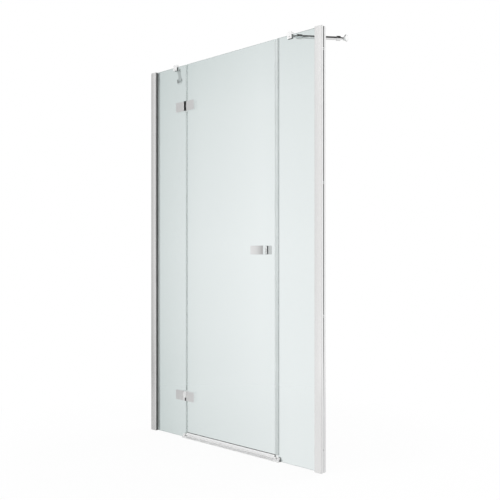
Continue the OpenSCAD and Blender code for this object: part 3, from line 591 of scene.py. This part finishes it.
def painted_hinge_sleeves(black, white):
    """Black sleeves of painted shade over the room side of the upper barrel; pale sleeves of painted light
    and a dark strip of painted shade on the lower.
    """
    axis = JOINTS["door_swing"]["pos_m"][:2]
    radii = (BARREL_R, BARREL_R + PAINT_SLEEVE_T)
    frame_band = arc_band(axis, *radii, *FRAME_PAINT_SLEEVE)
    door_band = arc_band(axis, *radii, *DOOR_PAINT_SLEEVE)
    foot_band = arc_band(axis, *radii, *FOOT_PAINT_SLEEVE)

    # Black sleeves are painted shade, pale ones painted light
    def dark(name, shapes, body):
        prisms(name, shapes, upright, body, black, PAINT_SLEEVE_ROUND)

    def pale(name, shapes, body):
        prisms(name, shapes, upright, body, white, PAINT_SLEEVE_ROUND)

    foot, door, head = barrel_heights("upper")
    dark("upper_frame_knuckle_painted_shade", [(frame_band, *foot), (frame_band, *head)], "frame")
    dark("upper_door_knuckle_painted_shade", [(door_band, *door)], "door")
    foot, door, head = barrel_heights("lower")
    pale("lower_frame_knuckle_painted_light", [(frame_band, *head)], "frame")
    pale("lower_door_knuckle_painted_light", [(door_band, *door)], "door")
    dark("lower_frame_knuckle_painted_shade", [(foot_band, *foot)], "frame")


# Pale strips that paint light on each frame leaf's end: width and rounding
LIGHT_STRIP_W = 0.0027
LIGHT_STRIP_ROUND = 0.0003
NECK_CLEARANCE = 0.00005


def hinge_painted_light_strips(material):
    """Pale strips in the corner between each frame leaf's edge and the barrel: painted light on the leaf's
    end.
    """
    axis = JOINTS["door_swing"]["pos_m"][:2]
    edge = axis[0] - BARREL_R - LEAF_BARREL_GAP
    front = axis[1] - LEAF_T / 2
    back = axis[1] - NECK_T / 2 - NECK_CLEARANCE
    strip = box_outline((edge, front), (edge + LIGHT_STRIP_W, back))
    for hinge in ("upper", "lower"):
        low, high = (corner[2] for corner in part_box(hinge + "_hinge_frame_leaf"))
        shapes = [(strip, low + LEAF_CORNER_R, high - LEAF_CORNER_R)]
        prisms(hinge + "_hinge_painted_light", shapes, upright, "frame", material, LIGHT_STRIP_ROUND)


# Lips of the handle's gasket: how far they reach past the base, how thick they are, how far their ends
# stop short of the base's, and their clearance from the glass
HANDLE_LIP_OUT = 0.0032
HANDLE_LIP_T = 0.0005
HANDLE_LIP_SHORT = 0.001
HANDLE_LIP_ROUND = 0.0002
GLASS_CLEARANCE = 0.00002


def handle_lips(material):
    """Pale lips of the outer handle gasket, on the glass at the base's two ends."""
    low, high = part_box("handle_outer_base")
    glass_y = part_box("door_glass")[0][1]
    shapes = []
    for x in (low[0] - HANDLE_LIP_OUT, high[0]):
        front = (x, glass_y - HANDLE_LIP_T)
        back = (x + HANDLE_LIP_OUT, glass_y - GLASS_CLEARANCE)
        shapes.append((box_outline(front, back), low[2] + HANDLE_LIP_SHORT, high[2] - HANDLE_LIP_SHORT))
    prisms("handle_gasket_lips", shapes, upright, "door", material, HANDLE_LIP_ROUND)


# Depth of the wall groove, as in the part's source
GROOVE_FLOOR = 0.0014
TAPE_W = 0.0052
TAPE_T = 0.0008
TAPE_Y = -0.0008
TAPE_ROUND = 0.0002
# Height that is cut out of the tape round each wall screw
TAPE_GAP = 0.012


def screw_heights(side):
    """Heights of a wall channel's screw holes, from the record's mounts."""
    heights = []
    for which in ("outer", "inner"):
        mount = MOUNTS[f"{side}_wall_screws_{which}"]
        reach = mount["dims"]["spacing_y_mm"] / 2000
        heights += [mount["pos_m"][2] - reach, mount["pos_m"][2] + reach]
    return sorted(heights)


def wall_tapes(material):
    """Dark sealing tape in the groove of each wall channel, cut out round the wall screws."""
    for side, sign in (("left", -1), ("right", 1)):
        low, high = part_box(side + "_wall_channel")
        floor_x = abs(low[0] if sign < 0 else high[0]) - GROOVE_FLOOR
        inner, outer = sorted((sign * floor_x, sign * (floor_x + TAPE_T)))
        band = box_outline((inner, TAPE_Y - TAPE_W / 2), (outer, TAPE_Y + TAPE_W / 2))
        cuts = [z + s * TAPE_GAP / 2 for z in screw_heights(side) for s in (-1, 1)]
        stops = [low[2], *cuts, high[2]]
        shapes = [(band, stops[i], stops[i + 1]) for i in range(0, len(stops), 2)]
        prisms(side + "_wall_tape", shapes, upright, "frame", material, TAPE_ROUND)


LIP_H = 0.0030
LIP_T = 0.0010
LIP_ROUND = 0.0003
# Black block of painted shadow at the bottom seal's end: length and height, how far it stands proud of the
# lip and lies under the seal's top, and how far it stays off the glass
SEAL_END_SHADE = (0.0045, 0.008)
SHADE_PROUD = 0.001
SHADE_DROP = 0.001
SHADE_OFF_GLASS = 0.0008
# Black block of painted shadow at the right block's foot: length, depth, and height from and to
BLOCK_FOOT_SHADE = (0.004, 0.0045, 0.0004, 0.009)
BLOCK_SHADE_OFF_GLASS = 0.0002
SHADE_ROUND = 0.0004


def seal_trim(rubber):
    """Dark lip along the bottom seal, and small black blocks of painted shadow at its end and at the right
    block's foot.
    """
    low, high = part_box("door_bottom_seal")
    glass_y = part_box("door_glass")[0][1]

    lip = box_outline((glass_y - LIP_T, high[2]), (glass_y, high[2] + LIP_H))
    prisms("bottom_seal_lip", [(lip, low[0], high[0])], lying, "door", rubber, LIP_ROUND)

    # Painted shadow: a black block in the gap at the seal's end
    length, height = SEAL_END_SHADE
    foot = (glass_y - LIP_T - SHADE_PROUD, high[2] - height - SHADE_DROP)
    shade_outline = box_outline(foot, (glass_y - SHADE_OFF_GLASS, high[2] - SHADE_DROP))
    prisms("bottom_seal_painted_shade", [(shade_outline, high[0] - length, high[0])], lying, "door", rubber, SHADE_ROUND)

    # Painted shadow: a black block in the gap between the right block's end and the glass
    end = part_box("right_end_block")[1][0]
    length, depth, foot, head = BLOCK_FOOT_SHADE
    shade_outline = box_outline((glass_y - depth, foot), (glass_y - BLOCK_SHADE_OFF_GLASS, head))
    prisms("block_foot_painted_shade", [(shade_outline, end, end + length)], lying, "frame", rubber, SHADE_ROUND)


# White end of the bottom seal in front of the hinge gap, from the hinge pins' line: along, depth and height,
# each from and to
SEAL_END = ((-0.0030, 0.0044), (0.0049, 0.0063), (0.0115, 0.0198))
SEAL_END_ROUND = 0.0003


def seal_end(material):
    """White end of the bottom seal, just behind the hinge line and in front of the hinge gap."""
    axis = JOINTS["door_swing"]["pos_m"]
    along, depth, height = SEAL_END
    end = box_outline((axis[0] + along[0], axis[1] + depth[0]), (axis[0] + along[1], axis[1] + depth[1]))
    prisms("bottom_seal_end", [(end, *height)], upright, "door", material, SEAL_END_ROUND)


# Level of the light on the object, at which a colour renders about as it is written
AMBIENT_LEVEL = 0.62
# Level of what metal and glass mirror, by direction in degrees from +X: it rises from the screen's left
# to its front, a dark strip stands to the right of the camera and the backdrop behind the screen is white
MIRROR_ROUND = (
    (-180, 0.70), (-165, 0.42), (-150, 0.36), (-141, 0.56), (-136, 0.65), (-131, 0.73), (-125, 0.80),
    (-119, 0.82), (-112, 0.86), (-104, 0.94), (-94, 0.94), (-76, 0.80), (-60, 0.66), (-46, 0.45),
    (-37, 0.05), (-22, 0.05), (-12, 0.50), (15, 0.75), (32, 0.90), (45, 0.95), (52, 1.0), (58, 0.97),
    (90, 1.0), (112, 0.60), (155, 0.60), (168, 0.80), (180, 0.80),
)
# The same for the floor far from the screen, at least this level from its front round to its left, so that
# it is pale under the dark strip too
PALE_FROM = -90
PALE_LEVEL = 0.7
FLOOR_ROUND = tuple(
    (turn, max(level, PALE_LEVEL) if turn > PALE_FROM else level) for turn, level in MIRROR_ROUND
)
# The same by the direction's rise, from level to straight up: a bright strip, then a dark ceiling
MIRROR_RISE = (
    (0.0, 1.0), (0.25, 1.0), (0.29, 1.04), (0.42, 1.04), (0.50, 0.75), (0.62, 0.10), (1.0, 0.04)
)
# Level of the mirrored floor near the screen, by x - y
NEAR_FLOOR = ((-0.62, 0.50), (-0.50, 0.55), (-0.30, 0.68), (0.0, 0.80), (0.6, 0.80))
# Distance from the screen over which the floor's mirrored level runs into the studio's
FLOOR_BLEND = (1.2, 2.6)


def mirror_round(nodes, x, y, stops):
    """The studio's mirrored level in the direction (x, y)."""
    turn = nodes.math("ARCTAN2", y, x)
    return nodes.curve(nodes.math("MULTIPLY", turn, 180 / math.pi), stops)


def studio_mirror(nodes, direction):
    """What metal and glass mirror above the floor."""
    parts = nodes.parts(direction)
    rise_level = nodes.curve(parts["Z"], MIRROR_RISE)
    round_level = mirror_round(nodes, parts["X"], parts["Y"], MIRROR_ROUND)
    level = nodes.math("MULTIPLY", round_level, rise_level)
    return nodes.add("ShaderNodeCombineColor", {0: level, 1: level, 2: level}).outputs[0]


def floor_mirror(nodes, place, distance):
    """What metal and glass mirror of the floor: pale near the screen, like the studio farther off."""
    parts = nodes.parts(place)
    # Mirrored rays run out at about 45 degrees, so x - y tells which upright piece they come from
    from_piece = nodes.math("SUBTRACT", parts["X"], parts["Y"])
    near = nodes.curve(from_piece, NEAR_FLOOR)
    far = mirror_round(nodes, parts["X"], parts["Y"], FLOOR_ROUND)
    return nodes.mix(nodes.ramp(distance, *FLOOR_BLEND), near, far)


def seen_directly(nodes, rays):
    """1 for what the camera sees, straight on or through glass."""
    return nodes.math("MAXIMUM", rays.outputs["Is Camera Ray"], rays.outputs["Is Transmission Ray"])


def make_world():
    """White where it is seen directly, the studio where it is mirrored, and even light otherwise."""
    world = bpy.data.worlds.new("studio")
    world.use_nodes = True
    bpy.context.scene.world = world
    nodes = Nodes(world.node_tree)
    rays = nodes.add("ShaderNodeLightPath")
    direction = nodes.add("ShaderNodeTexCoord").outputs["Generated"]
    mirrored = nodes.mix(
        rays.outputs["Is Glossy Ray"], grey(AMBIENT_LEVEL), studio_mirror(nodes, direction)
    )
    color = nodes.mix(seen_directly(nodes, rays), mirrored, grey(1.0))
    background = nodes.add("ShaderNodeBackground", {"Color": color, "Strength": 1.0})
    nodes.add("ShaderNodeOutputWorld", {"Surface": background.outputs[0]})


FLOOR_HALF = 40.0
# The floor lies this far under the object
FLOOR_DROP = 0.0005
FLOOR_COLOR = grey(0.95)
# Share of plain white in the floor that is seen: by distance from and to, and the share at each. The rest
# takes light and shadow
FLOOR_WHITE = (0.8, 1.6, 0.93, 1.0)


def floor_material():
    material = bpy.data.materials.new("floor")
    material.use_nodes = True
    nodes = Nodes(material.node_tree)
    rays = nodes.add("ShaderNodeLightPath")
    place = nodes.add("ShaderNodeNewGeometry").outputs["Position"]
    distance = nodes.add("ShaderNodeVectorMath", {0: place}, operation="LENGTH").outputs["Value"]
    shaded = nodes.add("ShaderNodeBsdfDiffuse", {"Color": FLOOR_COLOR}).outputs[0]
    seen = nodes.mix_shader(nodes.ramp(distance, *FLOOR_WHITE), shaded, nodes.emission(grey(1.0)))
    mirrored = nodes.emission(floor_mirror(nodes, place, distance))
    # A ray through clear glass counts as glossy too, so what is seen directly is mixed in last
    surface = nodes.mix_shader(rays.outputs["Is Glossy Ray"], shaded, mirrored)
    surface = nodes.mix_shader(seen_directly(nodes, rays), surface, seen)
    nodes.add("ShaderNodeOutputMaterial", {"Surface": surface})
    return material


def make_floor():
    """Plain pale floor that keeps a soft shadow of the object."""
    mesh = bpy.data.meshes.new("floor")
    corners = [(x * FLOOR_HALF, y * FLOOR_HALF, 0.0) for x, y in ((-1, -1), (1, -1), (1, 1), (-1, 1))]
    mesh.from_pydata(corners, [], [(0, 1, 2, 3)])
    floor = bpy.data.objects.new("floor", mesh)
    floor.location.z = -FLOOR_DROP
    bpy.context.scene.collection.objects.link(floor)
    mesh.materials.append(floor_material())


# Soft square lamps: place, side and power in watts
LAMPS = {
    "key": ((-1.2, -3.4, 3.4), 2.4, 60),
    "fill": ((3.0, -2.6, 2.2), 2.6, 40),
    "rim": ((1.0, 3.4, 3.0), 2.6, 50),
}
LAMP_TARGET = (0.0, 0.0, 0.9)


def make_lights():
    """Soft lamps aimed at the screen; metal and glass don't mirror them."""
    for name, (place, side, power) in LAMPS.items():
        data = bpy.data.lights.new(name, "AREA")
        data.shape = "SQUARE"
        data.size = side
        data.energy = power
        lamp = bpy.data.objects.new(name, data)
        lamp.location = place
        aim = Vector(LAMP_TARGET) - Vector(place)
        lamp.rotation_euler = aim.to_track_quat("-Z", "Y").to_euler()
        lamp.visible_glossy = False
        lamp.visible_transmission = False
        bpy.context.scene.collection.objects.link(lamp)


make_camera()
bpy.context.scene.view_settings.view_transform = "Standard"
LOOKS = make_materials()
dress_nodes(LOOKS)
soften_edges()
painted_hinge_sleeves(LOOKS["black_rubber"], LOOKS["white_plastic"])
hinge_painted_light_strips(LOOKS["white_seal"])
handle_lips(LOOKS["white_seal"])
wall_tapes(LOOKS["foam_tape"])
seal_trim(LOOKS["black_rubber"])
seal_end(LOOKS["white_seal"])
make_world()
make_floor()
make_lights()
